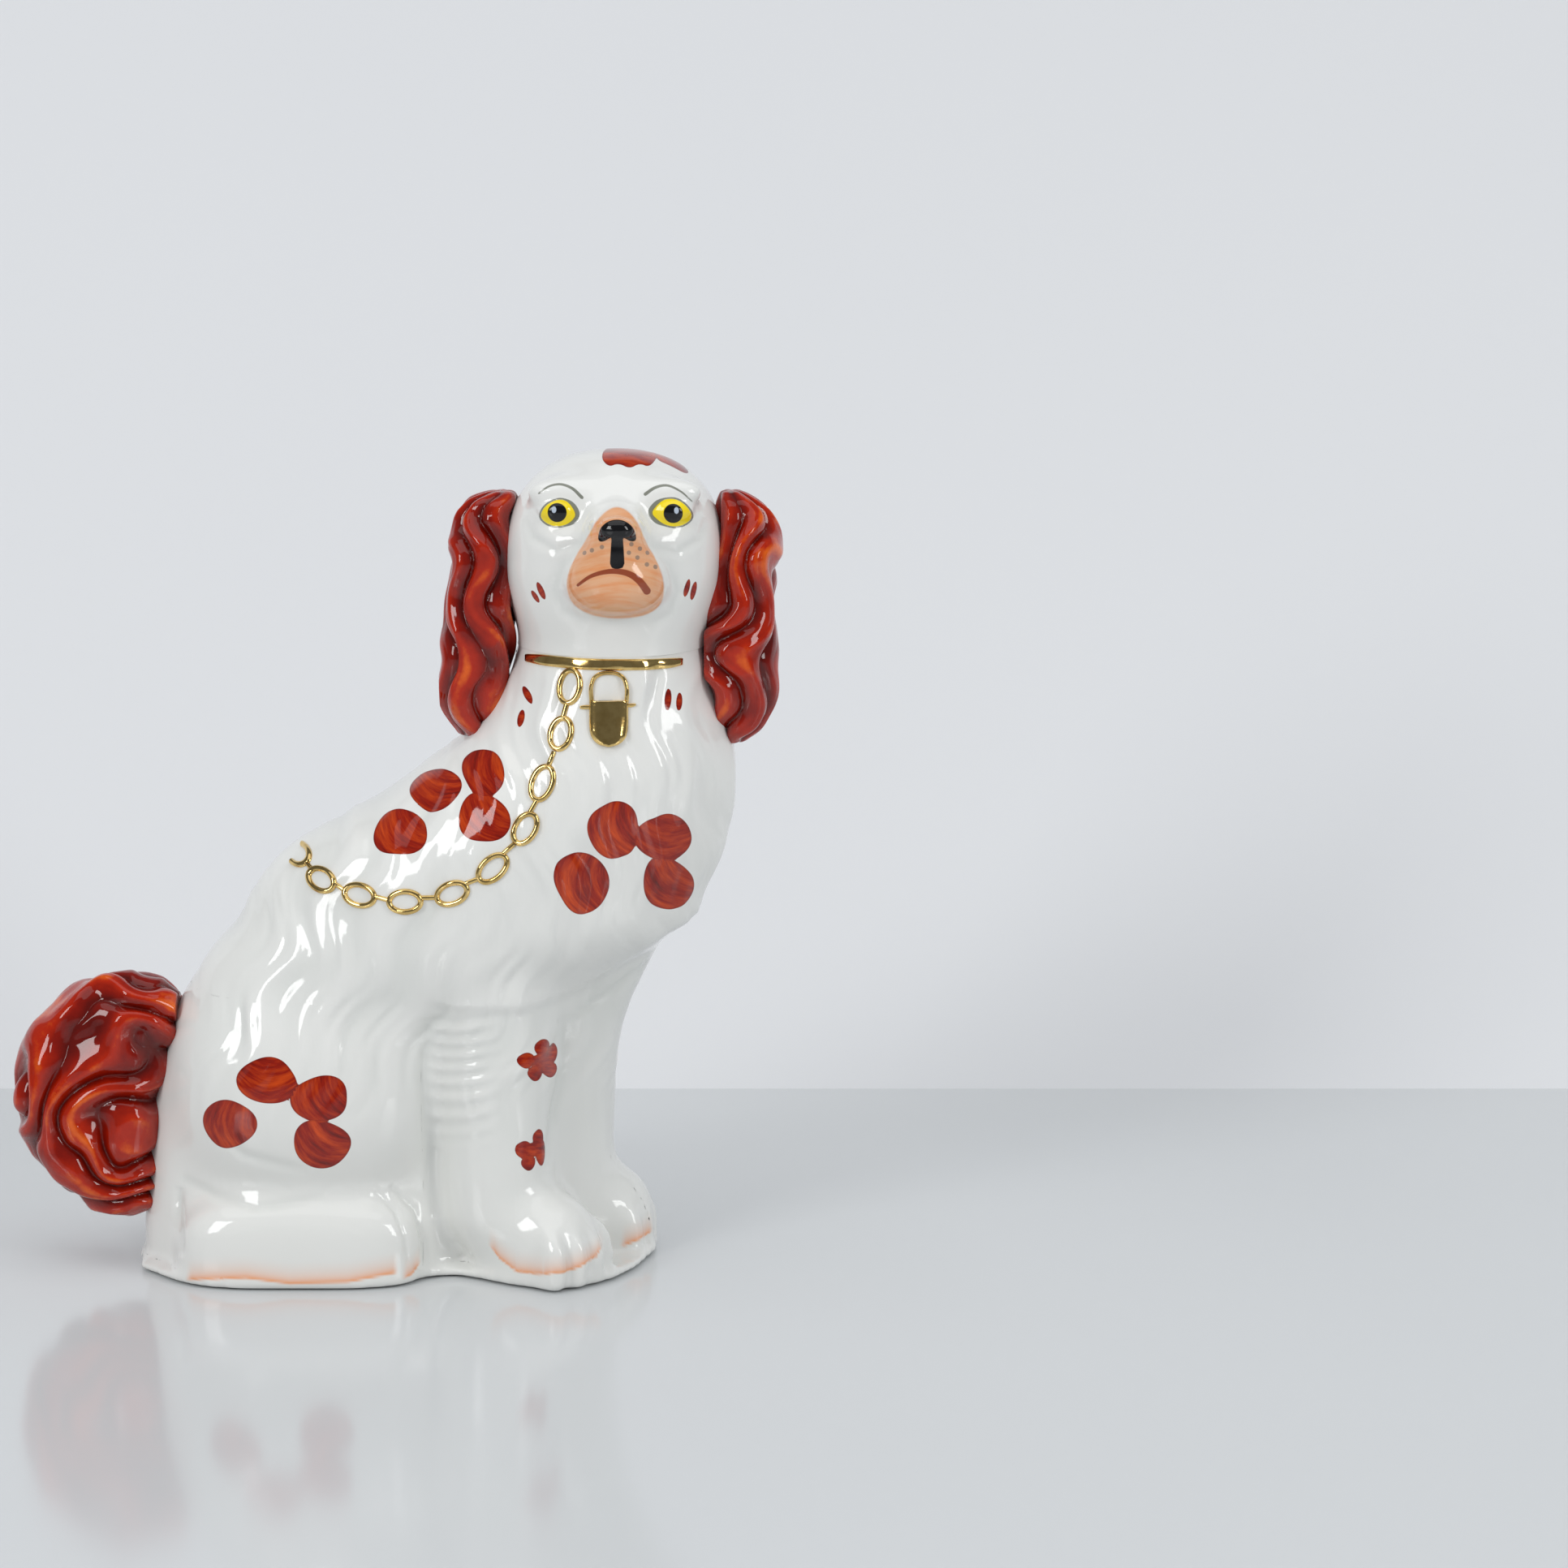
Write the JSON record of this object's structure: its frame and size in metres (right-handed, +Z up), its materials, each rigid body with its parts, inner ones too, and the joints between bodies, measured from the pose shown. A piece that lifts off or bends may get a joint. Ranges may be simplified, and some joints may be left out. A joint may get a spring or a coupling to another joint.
{
  "type": "spaniel mantel figure",
  "caption": "Seated spaniel figure in white glazed earthenware with russet ears, tail and patches, a gilt collar, padlock and draped chain.",
  "frame": {"origin": "middle of the flat underside, on the surface the figure stands on", "axes": "+Z up; +X towards the chest and forepaws, so the dog sits in profile along X; -Y towards the viewer, the way the head is turned"},
  "size_m": [0.2399, 0.0927, 0.254],
  "materials": {
    "white_glaze": "clear gloss glaze over white earthenware",
    "russet_enamel": "brushed red-brown enamel under gloss",
    "gilding": "bright fired gold lustre on glaze"
  },
  "bodies": {
    "root": {"base_slab": "white_glaze", "body_near_half": "white_glaze", "body_far_half": "white_glaze", "near_foreleg": "white_glaze", "far_foreleg": "white_glaze", "head_front_half": "white_glaze", "head_back_half": "white_glaze", "right_ear": "russet_enamel", "left_ear": "russet_enamel", "tail": "russet_enamel", "collar": "gilding", "padlock_body": "gilding", "padlock_shackle": "gilding", "padlock_pin": "gilding", "chain": "gilding"}
  },
  "joints": []
}
